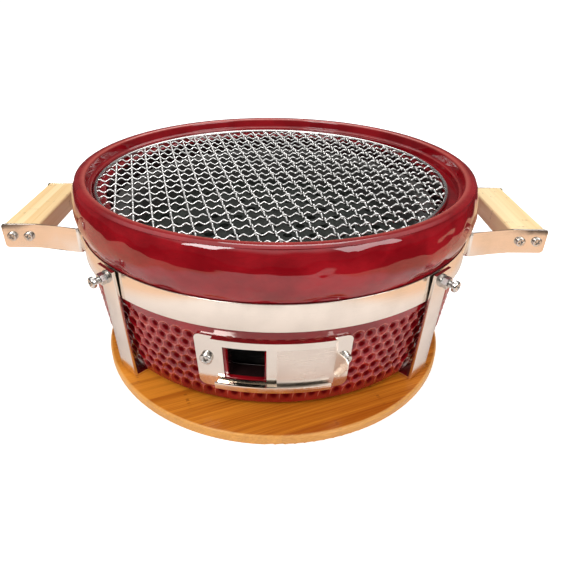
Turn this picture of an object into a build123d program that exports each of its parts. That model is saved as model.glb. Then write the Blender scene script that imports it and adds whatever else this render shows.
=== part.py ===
from build123d import *
import math
import os

# Tabletop ceramic grill: a glazed bowl held in a stainless strap frame with
# two bamboo handles, standing loose on a round bamboo board.
# Millimetres, +Z up. Origin: on the bowl's axis, in the board's underside.
# The vent is at the front, towards -Y, and the handles are at -X and +X.
# Azimuth is measured about +Z from the front, positive towards +X.

os.makedirs("parts", exist_ok=True)

# Bamboo board
board_radius = 151.0
board_thickness = 9.0
board_shift_y = -38.5
board_edge_round = 2.0

# Steel strap frame
strap_width = 20.0
strap_thickness = 2.5
strap_azimuth = 44.1
strap_top_reach = 174.7
strap_foot_reach = 169.7
strap_bend_round = 3.0
strap_joggle_half = 22.0
strap_joggle_run = 8.0
band_radius = 170.15
band_thickness = 1.5
band_bottom = 86.0
band_height = 22.0
band_bend_radius = 4.0
arm_offset = 50.4
arm_reach = 231.0
arm_corner_round = 3.0

# Glazed bowl
bowl_foot_radius = 157.5
bowl_foot_inner = 112.0
bowl_foot_recess = 4.5
bowl_base_radius = 161.9
bowl_base_height = 22.0
bowl_seat_radius = 168.6
bowl_collar_bottom = 109.2
bowl_rim_radius = 175.5
bowl_rim_top = 148.5
bowl_inner_radius = 146.5
bowl_floor = 28.0
ledge_height = 134.5
ledge_radius = 157.0
upper_ledge_height = 140.0
upper_ledge_radius = 159.8
mouth_radius = 161.0
collar_lip = 6.4
collar_swell = ((173.6, 115.5), (bowl_rim_radius, 126.5), (173.9, 138.5), (170.3, 146.2))

# Vent in the bowl's front wall, and the plate round it
vent_low = 38.0
vent_high = 68.0
vent_left = -11.6
vent_right = -1.9
vent_corner_round = 4.5
window_low = 38.0
window_high = 70.0
window_left = -12.2
window_right = -1.6
plate_gap = 0.3
plate_thickness = 1.2
plate_half_angle = 19.2
plate_low = 28.5
plate_high = 77.6
plate_corner_round = 5.0
lip_half_angle = 14.4
top_lip_reach = 4.8
top_lip_drop = 6.0
bottom_lip_reach = 6.0
bottom_lip_low = 30.6
bottom_lip_rise = 5.6
door_left = 0.9
door_right = 15.2
door_low = 34.0
door_high = 75.2
door_gap = 0.4
door_thickness = 1.0
tab_low = 44.5
tab_high = 64.5
tab_reach = 14.6
tab_lower_reach = 6.0
tab_tip_height = 5.5
tab_lean = 17.0
tab_root_inset = 0.15
tab_corner = 2.0
vent_screw_azimuths = (-16.4, 17.7)
vent_screw_height = 56.5
vent_screw_head = 9.4
vent_screw_radius = 2.4
vent_screw_length = 12.0
vent_screw_head_height = 3.2
head_gap = 0.05
pilot_play = 0.1
screw_play = 0.2
cut_over = 1.0

# Inner pieces
fire_bowl_base_radius = 134.0
fire_bowl_top_radius = 143.0
fire_bowl_wall = 14.0
fire_bowl_top = 119.0
fire_bowl_shoulder = 68.0
fire_edge = 1.5
fire_step_width = 9.0
fire_slot_round = 8.0
plate_play = 1.0
fire_slot_half_angle = 24.0
fire_slot_high = 66.0
fire_slot_low = 36.0
plate_seat = 80.0
charcoal_radius = 127.5
charcoal_thickness = 6.0
charcoal_hole = 4.5
charcoal_pitch = 24.0
charcoal_edge = 1.5
charcoal_border = 14.0

# Cooking grate
wire_radius = 1.0
wire_gap = 0.2
wire_pitch = 13.5
grate_radius = 151.5
grate_ring_radius = 1.5
grate_turn = 14.4
grate_shift_x = -3.5
wire_end_gap = 0.1

# Handles and fasteners
handle_inner = 199.0
handle_outer = 229.0
handle_low = 90.0
handle_high = 107.6
handle_round = 2.0
handle_screw_places = (209.0, 223.0)
handle_screw_height = 97.0
handle_screw_length = 20.0
handle_screw_radius = 2.0
handle_screw_head = 8.0
handle_screw_head_height = 2.6
handle_end_gap = 0.05
clamp_height = 101.0
clamp_radius = 2.5
clamp_hole = 2.65
washer_thickness = 1.2
nut_height = 4.7
nut_across_flats = 8.0
clamp_head_stand = 9.5
clamp_head = 8.6
clamp_head_height = 3.4
washer_radius = 5.0
washer_seat = 0.02
nut_chamfer = 0.4
nut_play = 0.06
clamp_thread_reach = 10.0
clamp_tip_gap = 0.35

strap_seat = board_thickness
bowl_bottom = strap_seat + strap_thickness
wall_slope = (bowl_seat_radius - bowl_base_radius) / (band_bottom - bowl_base_height)


def wall_radius(height):
    """Outer radius of the bowl's straight lower wall at a height."""
    return bowl_base_radius + (height - bowl_base_height) * wall_slope


def turned(points, sweep=360.0, start=0.0):
    """Solid of revolution of an (r, z) outline, from one azimuth through a sweep."""
    outline = Plane.XZ * make_face(Polyline(*points, close=True))
    solid = revolve(outline, Axis.Z, revolution_arc=sweep)
    return Rot(0, 0, start - 90.0) * solid


def wall_band(low, high, inner, outer, left, right):
    """Piece of a cone parallel to the bowl's wall, between two offsets from it."""
    outline = [
        (wall_radius(low) + inner, low),
        (wall_radius(low) + outer, low),
        (wall_radius(high) + outer, high),
        (wall_radius(high) + inner, high),
    ]
    return turned(outline, right - left, left)


def radial_plane(azimuth, radius, height, tilt=0.0):
    """Plane facing outward from the axis at an azimuth, tipped down by a tilt."""
    angle = math.radians(azimuth)
    lean = math.radians(tilt)
    outward = (
        math.sin(angle) * math.cos(lean),
        -math.cos(angle) * math.cos(lean),
        -math.sin(lean),
    )
    across = (math.cos(angle), math.sin(angle), 0)
    origin = (math.sin(angle) * radius, -math.cos(angle) * radius, height)
    return Plane(origin=origin, x_dir=across, z_dir=outward)


def pan_screw(head_radius, head_height, shank_radius, shank_length):
    """Cross-slotted pan-head screw, shank along -Z and head seated on Z = 0."""
    crown = head_height * 0.45
    head = Cylinder(head_radius, head_height, align=(Align.CENTER, Align.CENTER, Align.MIN))
    head = fillet(head.edges().sort_by(Axis.Z)[-1], crown)
    shank = Cylinder(shank_radius, shank_length, align=(Align.CENTER, Align.CENTER, Align.MAX))
    slot_depth = head_height * 0.6
    slot_width = head_radius * 0.26
    slot_length = head_radius * 1.1
    cross = Box(slot_length, slot_width, slot_depth * 2) + Box(slot_width, slot_length, slot_depth * 2)
    return head + shank - Pos(0, 0, head_height) * cross


# Bamboo board: a plain disc with eased edges, set forward under the grill
board = Cylinder(board_radius, board_thickness, align=(Align.CENTER, Align.CENTER, Align.MIN))
board = fillet(board.edges().filter_by(GeomType.CIRCLE), board_edge_round)
bamboo_board = Pos(0, board_shift_y, 0) * board


# Glazed bowl: foot ring, tapered wall, seat for the band, swelling collar, rolled rim
def bowl_profile():
    """Half section of the bowl in (r, z), from the centre of the recess outwards."""
    recess = bowl_bottom + bowl_foot_recess
    with BuildSketch(Plane.XZ) as section:
        with BuildLine():
            start = Polyline(
                (0, recess),
                (bowl_foot_inner, recess),
                (bowl_foot_inner + 2.5, bowl_bottom),
                (bowl_foot_radius, bowl_bottom),
            )
            foot = RadiusArc(start @ 1, (bowl_base_radius - 0.4, bowl_bottom + 4.6), -4.8)
            wall = Polyline(
                foot @ 1,
                (bowl_base_radius, bowl_base_height),
                (bowl_seat_radius, band_bottom),
                (bowl_seat_radius, bowl_collar_bottom - 0.6),
                (bowl_seat_radius + 0.6, bowl_collar_bottom),
                (bowl_seat_radius + 2.0, bowl_collar_bottom),
            )
            collar = Spline(
                wall @ 1,
                *collar_swell,
                (mouth_radius + collar_lip, bowl_rim_top),
                tangents=((0.55, 1), (-1, 0.05)),
            )
            inside = Polyline(
                collar @ 1,
                (mouth_radius + 1.8, bowl_rim_top - 0.4),
                (mouth_radius, bowl_rim_top - 2.2),
                (upper_ledge_radius, upper_ledge_height + 0.6),
                (ledge_radius + 0.6, upper_ledge_height),
                (ledge_radius, ledge_height),
                (bowl_inner_radius + 1.0, ledge_height),
                (bowl_inner_radius, ledge_height - 1.0),
                (bowl_inner_radius - 1.0, bowl_floor + 12.0),
            )
            cove = RadiusArc(inside @ 1, (bowl_inner_radius - 13.0, bowl_floor), 12.0)
            Polyline(cove @ 1, (0, bowl_floor), (0, recess))
        make_face()
    return section.sketch


ceramic_bowl = revolve(bowl_profile(), Axis.Z)
vent_middle = (vent_left + vent_right) / 2
vent_width = math.radians(vent_right - vent_left) * wall_radius(vent_low)
vent_height = vent_high - vent_low
vent_frame = radial_plane(vent_middle, 0, (vent_low + vent_high) / 2)
vent_shape = vent_frame * RectangleRounded(vent_width, vent_height, vent_corner_round)
ceramic_bowl -= extrude(vent_shape, 2 * bowl_rim_radius) - Cylinder(bowl_foot_inner, 2 * bowl_rim_radius)
wall_tilt = math.degrees(math.atan(wall_slope))
vent_screw_planes = [
    radial_plane(azimuth, wall_radius(vent_screw_height), vent_screw_height, wall_tilt)
    for azimuth in vent_screw_azimuths
]
for seat in vent_screw_planes:
    ceramic_bowl -= extrude(seat * Circle(vent_screw_radius + pilot_play), vent_screw_length + cut_over, both=True)

# Vent plate: curved sheet with a window and two folded guide lips
plate_outer = plate_gap + plate_thickness
vent_plate = wall_band(plate_low, plate_high, plate_gap, plate_outer, -plate_half_angle, plate_half_angle)
corner_edges = vent_plate.edges().filter_by(lambda edge: edge.length < plate_thickness * 1.5)
vent_plate = fillet(corner_edges, plate_corner_round)


def guide_lip(floor_low, wall_low, wall_high, reach):
    """Lip folded out of the plate: a floor, and a wall that the door runs behind."""
    floor_high = floor_low + plate_thickness
    floor = wall_band(floor_low, floor_high, plate_gap, reach, -lip_half_angle, lip_half_angle)
    inner = reach - plate_thickness
    return floor + wall_band(wall_low, wall_high, inner, reach, -lip_half_angle, lip_half_angle)


vent_plate += guide_lip(plate_high - plate_thickness, plate_high - top_lip_drop, plate_high, top_lip_reach)
vent_plate += guide_lip(
    bottom_lip_low, bottom_lip_low, bottom_lip_low + bottom_lip_rise, bottom_lip_reach
)
vent_plate -= wall_band(
    plate_low - cut_over, bottom_lip_low, -cut_over, plate_outer + cut_over, -lip_half_angle, lip_half_angle
)
vent_plate -= wall_band(window_low, window_high, -cut_over, plate_outer + cut_over, window_left, window_right)
for seat in vent_screw_planes:
    vent_plate -= extrude(seat * Circle(vent_screw_radius + screw_play), vent_screw_length, both=True)

# Vent door: curved slide with a bent finger tab at its right end
door_inner = plate_outer + door_gap
door_outer = door_inner + door_thickness
vent_door = wall_band(door_low, door_high, door_inner, door_outer, door_left, door_right)
tab_angle = math.radians(door_right + tab_lean)
tab_out = Vector(math.sin(tab_angle), -math.cos(tab_angle), 0)
hinge_angle = math.radians(door_right - tab_root_inset)
tab_root_radius = wall_radius(tab_low) + door_inner + door_thickness * 0.4
tab_root = Vector(
    math.sin(hinge_angle) * tab_root_radius, -math.cos(hinge_angle) * tab_root_radius, tab_low
)
tab_plane = Plane(origin=tab_root, x_dir=tab_out, z_dir=tab_out.cross(Vector(0, 0, 1)))
tab_tall = tab_high - tab_low
tab_top_shift = tab_tall * wall_slope
tab_outline = Polyline(
    (0, 0),
    (tab_lower_reach, 0),
    (tab_reach, tab_tall - tab_tip_height - tab_corner),
    (tab_reach, tab_tall - tab_corner),
    (tab_reach - tab_corner, tab_tall),
    (tab_top_shift, tab_tall),
    close=True,
)
tab = extrude(tab_plane * make_face(tab_outline), door_thickness / 2, both=True)
vent_door += tab

vent_screw = pan_screw(vent_screw_head / 2, vent_screw_head_height, vent_screw_radius, vent_screw_length)
vent_screws = Compound(
    children=[seat.location * Pos(0, 0, plate_outer + head_gap) * vent_screw for seat in vent_screw_planes]
)


# Clamp axes: square to the straps' slanted outer faces
strap_rise = band_bottom + band_height - strap_seat
strap_slope = (strap_top_reach - strap_foot_reach) / strap_rise
clamp_reach = strap_top_reach - strap_slope * (band_bottom + band_height - clamp_height)


def clamp_plane(azimuth):
    """Plane on a strap's outer face at its clamp screw."""
    return radial_plane(azimuth, clamp_reach, clamp_height, math.degrees(math.atan(strap_slope)))


# Bands: one strip each, bent out of the hoop into two straight handle arms
def band_edge(inset):
    """Open edge of a band in plan, from the left arm's end to the right arm's end."""
    bend = band_bend_radius + inset
    centre_y = -(arm_offset + band_bend_radius)
    centre_x = math.sqrt((band_radius + band_bend_radius) ** 2 - centre_y**2)
    arm_y = -arm_offset + inset
    hoop = band_radius - inset
    span = math.atan2(centre_x, -centre_y)
    end_x = hoop * math.sin(span)
    end_y = -hoop * math.cos(span)
    middle = (math.pi / 2 + (math.pi / 2 - span)) / 2
    bend_x = centre_x - bend * math.cos(middle)
    bend_y = centre_y + bend * math.sin(middle)
    return [
        Line((-arm_reach, arm_y), (-centre_x, arm_y)),
        ThreePointArc((-centre_x, arm_y), (-bend_x, bend_y), (-end_x, end_y)),
        ThreePointArc((-end_x, end_y), (0, -hoop), (end_x, end_y)),
        ThreePointArc((end_x, end_y), (bend_x, bend_y), (centre_x, arm_y)),
        Line((centre_x, arm_y), (arm_reach, arm_y)),
    ]


def make_band():
    """Front band: the strip raised to its width, with round arm ends and holes."""
    half = band_thickness / 2
    rear_y = -arm_offset + half
    front_y = -arm_offset - half
    edges = band_edge(half) + band_edge(-half)
    edges.append(Line((arm_reach, rear_y), (arm_reach, front_y)))
    edges.append(Line((-arm_reach, rear_y), (-arm_reach, front_y)))
    outline = make_face(Wire(edges))
    strip = Pos(0, 0, band_bottom) * extrude(outline, band_height)
    ends = strip.edges().filter_by(Axis.Y).filter_by(lambda edge: abs(edge.center().X) > arm_reach - 1)
    strip = fillet(ends, arm_corner_round)
    for place in handle_screw_places:
        for side in (-1, 1):
            drill = Pos(side * place, -arm_offset, handle_screw_height) * Rot(90, 0, 0)
            strip -= drill * Cylinder(handle_screw_radius + screw_play, 4 * band_thickness)
    for side in (-1, 1):
        strip -= extrude(clamp_plane(side * strap_azimuth) * Circle(clamp_hole), clamp_thread_reach, both=True)
    return strip


front_band = make_band()
rear_band = Rot(0, 0, 180) * front_band


# Cradle straps: flat bar down one side, under the bowl and up the other side
def make_strap(azimuth, crossing_lift):
    """U-shaped strap across the frame, joggled up in the middle where it crosses."""
    low = strap_seat
    high = band_bottom + band_height
    step = strap_joggle_half
    run = strap_joggle_run
    outside = [
        (-strap_top_reach, high),
        (-strap_foot_reach, low),
        (-step - run, low),
        (-step, low + crossing_lift),
        (step, low + crossing_lift),
        (step + run, low),
        (strap_foot_reach, low),
        (strap_top_reach, high),
    ]
    thick = strap_thickness
    inner_foot = strap_foot_reach - thick + strap_slope * thick
    inside = [
        (strap_top_reach - thick, high),
        (inner_foot, low + thick),
        (step + run, low + thick),
        (step, low + crossing_lift + thick),
        (-step, low + crossing_lift + thick),
        (-step - run, low + thick),
        (-inner_foot, low + thick),
        (-strap_top_reach + thick, high),
    ]
    if crossing_lift == 0:
        outside = [point for point in outside if abs(point[0]) > step + run]
        inside = [point for point in inside if abs(point[0]) > step + run]
    face = Plane.XZ * make_face(Polyline(*outside, *inside, close=True))
    strap = extrude(face, strap_width / 2, both=True)
    foot_edges = strap.edges().filter_by(Axis.Y).filter_by(
        lambda edge: edge.center().Z < low + 0.1 and abs(edge.center().X) > strap_foot_reach - 1
    )
    strap = fillet(foot_edges, strap_bend_round)
    strap = Rot(0, 0, azimuth - 90.0) * strap
    for end_azimuth in (azimuth, azimuth + 180.0):
        strap -= extrude(clamp_plane(end_azimuth) * Circle(clamp_hole), clamp_thread_reach, both=True)
    return strap


cradle_strap_lower = make_strap(-strap_azimuth, 0.0)
cradle_strap_upper = make_strap(strap_azimuth, strap_thickness)

# Clamp fasteners: a screw through a nut and washer at the top of each strap end
clamp_azimuths = (-strap_azimuth, strap_azimuth, 180.0 - strap_azimuth, 180.0 + strap_azimuth)
clamp_places = [clamp_plane(azimuth).location for azimuth in clamp_azimuths]
base_up = (Align.CENTER, Align.CENTER, Align.MIN)
washer = Pos(0, 0, washer_seat) * (
    Cylinder(washer_radius, washer_thickness, align=base_up) - Cylinder(clamp_hole, washer_thickness, align=base_up)
)
nut_blank = extrude(RegularPolygon(nut_across_flats / 2, 6, major_radius=False), nut_height)
nut_top = nut_blank.edges().group_by(Axis.Z)[-1]
nut = Pos(0, 0, washer_seat + washer_thickness) * (
    chamfer(nut_top, nut_chamfer) - Cylinder(clamp_radius + nut_play, nut_height, align=base_up)
)
clamp_shank = clamp_head_stand + clamp_reach - bowl_seat_radius - clamp_tip_gap
clamp_screw = Pos(0, 0, clamp_head_stand) * pan_screw(clamp_head / 2, clamp_head_height, clamp_radius, clamp_shank)
clamp_washers = Compound(children=[place * washer for place in clamp_places])
clamp_nuts = Compound(children=[place * nut for place in clamp_places])
clamp_screws = Compound(children=[place * clamp_screw for place in clamp_places])


# Bamboo handles between the arms, and their screws
def make_handle(side):
    """Bamboo bar between the front and rear arms, with pilot holes in its ends."""
    length = 2 * (arm_offset - band_thickness / 2 - handle_end_gap)
    middle = side * (handle_inner + handle_outer) / 2
    bar = Box(handle_outer - handle_inner, length, handle_high - handle_low)
    bar = fillet(bar.edges().filter_by(Axis.Y), handle_round)
    bar = Pos(middle, 0, (handle_low + handle_high) / 2) * bar
    for place in handle_screw_places:
        for end in (-1, 1):
            drill = Pos(side * place, end * length / 2, handle_screw_height) * Rot(90, 0, 0)
            bar -= drill * Cylinder(handle_screw_radius + pilot_play, 2 * handle_screw_length)
    return bar


left_handle = make_handle(-1)
right_handle = make_handle(1)
handle_screw = pan_screw(
    handle_screw_head / 2, handle_screw_head_height, handle_screw_radius, handle_screw_length
)
arm_face = arm_offset + band_thickness / 2 + washer_seat
handle_screw_places_all = [
    (side * place, end) for side in (-1, 1) for place in handle_screw_places for end in (-1, 1)
]
handle_screws = Compound(
    children=[
        Pos(place, end * arm_face, handle_screw_height) * Rot(-90 * end, 0, 0) * handle_screw
        for place, end in handle_screw_places_all
    ]
)

# Fire bowl: dark inner ring with an inner step for the charcoal plate and an air slot
fire_bottom = bowl_floor
fire_bowl = turned(
    [
        (charcoal_radius - fire_step_width - 2 * fire_edge, fire_bottom),
        (fire_bowl_base_radius - fire_edge, fire_bottom),
        (fire_bowl_base_radius, fire_bottom + fire_edge),
        (fire_bowl_top_radius, fire_bowl_shoulder),
        (fire_bowl_top_radius, fire_bowl_top - fire_edge),
        (fire_bowl_top_radius - fire_edge, fire_bowl_top),
        (fire_bowl_top_radius - fire_bowl_wall + fire_edge, fire_bowl_top),
        (fire_bowl_top_radius - fire_bowl_wall, fire_bowl_top - fire_edge),
        (charcoal_radius + plate_play, plate_seat),
        (charcoal_radius - fire_step_width, plate_seat),
        (charcoal_radius - fire_step_width - fire_edge, plate_seat - 2 * fire_edge),
    ]
)
slot_middle = radial_plane(0, 0, (fire_slot_low + fire_slot_high) / 2)
slot_width = 2 * math.radians(fire_slot_half_angle) * fire_bowl_base_radius
slot_shape = slot_middle * RectangleRounded(slot_width, fire_slot_high - fire_slot_low, fire_slot_round)
fire_bowl -= extrude(slot_shape, 2 * fire_bowl_top_radius)

# Charcoal plate: cast disc with a triangular field of holes
charcoal_plate = Cylinder(charcoal_radius, charcoal_thickness, align=base_up)
charcoal_plate = fillet(charcoal_plate.edges().filter_by(GeomType.CIRCLE), charcoal_edge)
row_height = charcoal_pitch * math.sqrt(3) / 2
hole_places = []
for row in range(-5, 6):
    for column in range(-6, 7):
        hole_x = (column + (row % 2) / 2) * charcoal_pitch
        hole_y = row * row_height
        if math.hypot(hole_x, hole_y) < charcoal_radius - charcoal_border:
            hole_places.append((hole_x, hole_y))
hole_field = Sketch() + [Pos(x, y) * Circle(charcoal_hole) for x, y in hole_places]
charcoal_plate -= extrude(hole_field, charcoal_thickness)
charcoal_plate = Pos(0, 0, plate_seat) * charcoal_plate


# Cooking grate: crimped wires woven over and under each other inside a round ring
def crimped_wire(offset, parity):
    """Zigzag wire along X at one offset, passing over and under the crossing wires."""
    ring_inside = grate_radius - grate_ring_radius - wire_end_gap
    reach = math.sqrt(ring_inside**2 - (abs(offset) + wire_radius) ** 2)
    wave = wire_radius + wire_gap
    steps = int((reach - wire_radius / 2) // wire_pitch)
    level = [wave if (step + parity) % 2 == 0 else -wave for step in range(-steps, steps + 1)]
    ends = 0.0 if reach - steps * wire_pitch > wire_pitch / 3 else 1.0
    line = [(-reach, ends * level[0])]
    line += [(step * wire_pitch, height) for step, height in zip(range(-steps, steps + 1), level)]
    line.append((reach, ends * level[-1]))
    over = [(x, z + wire_radius) for x, z in line]
    under = [(x, z - wire_radius) for x, z in reversed(line)]
    face = Plane.XZ * make_face(Polyline(*over, *under, close=True))
    return Pos(0, offset, 0) * extrude(face, wire_radius, both=True)


wire_count = int((grate_radius - 4 * grate_ring_radius) // wire_pitch)
wire_rows = range(-wire_count, wire_count + 1)
grate_middle = ledge_height + 2 * wire_radius + wire_gap + wire_end_gap / 2
grate_place = Pos(grate_shift_x, 0, grate_middle) * Rot(0, 0, grate_turn)
across = [crimped_wire(row * wire_pitch, row) for row in wire_rows]
along = [Rot(0, 0, 90) * crimped_wire(row * wire_pitch, row + 1) for row in wire_rows]
grate_wires_across = Compound(children=[grate_place * wire for wire in across])
grate_wires_along = Compound(children=[grate_place * wire for wire in along])
grate_ring = grate_place * Torus(grate_radius, grate_ring_radius)

nodes = {
    "bamboo_board": bamboo_board,
    "ceramic_bowl": ceramic_bowl,
    "vent_plate": vent_plate,
    "vent_door": vent_door,
    "vent_screws": vent_screws,
    "front_band": front_band,
    "rear_band": rear_band,
    "cradle_strap_lower": cradle_strap_lower,
    "cradle_strap_upper": cradle_strap_upper,
    "clamp_washers": clamp_washers,
    "clamp_nuts": clamp_nuts,
    "clamp_screws": clamp_screws,
    "left_handle": left_handle,
    "right_handle": right_handle,
    "handle_screws": handle_screws,
    "fire_bowl": fire_bowl,
    "charcoal_plate": charcoal_plate,
    "grate_ring": grate_ring,
    "grate_wires_across": grate_wires_across,
    "grate_wires_along": grate_wires_along,
}
for name, shape in nodes.items():
    export_step(shape, os.path.join("parts", name + ".step"))
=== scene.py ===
"""Looks of a tabletop ceramic charcoal grill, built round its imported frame.

Sizes are in millimetres in the classes below and become metres when a piece is made.
Azimuth is measured about +Z from the front, positive towards +X.
"""

import logging
import math
from dataclasses import dataclass, field
from enum import Enum
from typing import Any, Sequence

import bmesh
import bpy
from mathutils import Matrix, Vector, noise


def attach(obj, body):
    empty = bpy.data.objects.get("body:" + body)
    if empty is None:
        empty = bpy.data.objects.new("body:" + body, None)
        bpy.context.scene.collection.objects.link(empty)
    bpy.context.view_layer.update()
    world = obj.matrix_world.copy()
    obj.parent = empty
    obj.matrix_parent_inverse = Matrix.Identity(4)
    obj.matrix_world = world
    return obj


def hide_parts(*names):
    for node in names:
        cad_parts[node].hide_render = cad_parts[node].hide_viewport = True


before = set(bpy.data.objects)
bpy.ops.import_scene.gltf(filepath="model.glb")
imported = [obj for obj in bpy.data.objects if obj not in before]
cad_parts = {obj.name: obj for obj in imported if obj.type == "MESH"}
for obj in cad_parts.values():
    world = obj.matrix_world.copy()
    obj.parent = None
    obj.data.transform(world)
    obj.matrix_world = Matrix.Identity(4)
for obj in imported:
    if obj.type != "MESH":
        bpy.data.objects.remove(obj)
LOG = logging.getLogger("grill")
MM = 0.001
Colour = tuple[float, float, float]
Point = tuple[float, float, float]


class Body(Enum):
    """Rigid bodies that the new pieces ride on."""

    GRILL = "grill"
    GRATE = "cooking_grate"


# Shader graph


class Value:
    """A number in a node tree; arithmetic on it adds Math nodes."""

    def __init__(self, nodes: "Nodes", socket: bpy.types.NodeSocket) -> None:
        """Wraps one output socket.

        Args:
            nodes: the node tree that the socket belongs to.
            socket: the output socket.
        """
        self.nodes = nodes
        self.socket = socket

    def _math(self, operation: str, first: Any, second: Any) -> "Value":
        """Adds a Math node.

        Args:
            operation: the Math node's operation.
            first: its first value.
            second: its second value.

        Returns:
            The node's result.
        """
        node = self.nodes.node("ShaderNodeMath", {"operation": operation}, {0: first, 1: second})
        return Value(self.nodes, node.outputs[0])

    def __add__(self, other: Any) -> "Value":
        """Sum."""
        return self._math("ADD", self, other)

    __radd__ = __add__

    def __sub__(self, other: Any) -> "Value":
        """Difference."""
        return self._math("SUBTRACT", self, other)

    def __rsub__(self, other: Any) -> "Value":
        """Difference from a number."""
        return self._math("SUBTRACT", other, self)

    def __mul__(self, other: Any) -> "Value":
        """Product."""
        return self._math("MULTIPLY", self, other)

    __rmul__ = __mul__

    def __truediv__(self, other: Any) -> "Value":
        """Quotient."""
        return self._math("DIVIDE", self, other)

    def __pow__(self, other: Any) -> "Value":
        """Power."""
        return self._math("POWER", self, other)

    def floor(self) -> "Value":
        """Whole part."""
        return self._math("FLOOR", self, 0.0)

    def fraction(self) -> "Value":
        """Fractional part."""
        return self._math("FRACT", self, 0.0)


class Nodes:
    """The nodes of one material or of the world."""

    def __init__(self, tree: bpy.types.NodeTree) -> None:
        """Takes the node tree to be filled."""
        self.tree = tree

    def node(self, kind: str, settings: dict[str, Any], inputs: dict[Any, Any]) -> bpy.types.Node:
        """Adds any node.

        Args:
            kind: the node's type.
            settings: its properties, set first.
            inputs: values or links by socket name or number.

        Returns:
            The new node.
        """
        node = self.tree.nodes.new(kind)
        for key, value in settings.items():
            setattr(node, key, value)
        for key, value in inputs.items():
            self.feed(node.inputs[key], value)
        return node

    def feed(self, socket: bpy.types.NodeSocket, value: Any) -> None:
        """Links or sets one input socket.

        Args:
            socket: the input socket.
            value: a Value, a socket, a number or a colour.
        """
        if isinstance(value, Value):
            self.tree.links.new(value.socket, socket)
        elif isinstance(value, bpy.types.NodeSocket):
            self.tree.links.new(value, socket)
        elif isinstance(value, tuple) and len(value) == 3 and socket.type == "RGBA":
            socket.default_value = (*value, 1.0)
        else:
            socket.default_value = value

    def output(self, kind: str, name: str) -> Value:
        """A number from a node that needs no inputs.

        Args:
            kind: the node's type.
            name: the output's name.

        Returns:
            The number.
        """
        return Value(self, self.node(kind, {}, {}).outputs[name])

    def step(self, value: Value, low: float, high: float) -> Value:
        """Smooth step from 0 at low to 1 at high.

        Args:
            value: the number to be stepped.
            low: where the step starts.
            high: where it ends.

        Returns:
            The stepped number.
        """
        inputs = {"Value": value, "From Min": low, "From Max": high}
        node = self.node("ShaderNodeMapRange", {"interpolation_type": "SMOOTHSTEP"}, inputs)
        return Value(self, node.outputs[0])

    def mix(self, first: Any, second: Any, amount: Any) -> bpy.types.NodeSocket:
        """Mixes two colours.

        Args:
            first: the colour at amount 0.
            second: the colour at amount 1.
            amount: the share of the second.

        Returns:
            The mixed colour.
        """
        node = self.node("ShaderNodeMix", {"data_type": "RGBA"}, {0: amount, 6: first, 7: second})
        return node.outputs[2]


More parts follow.
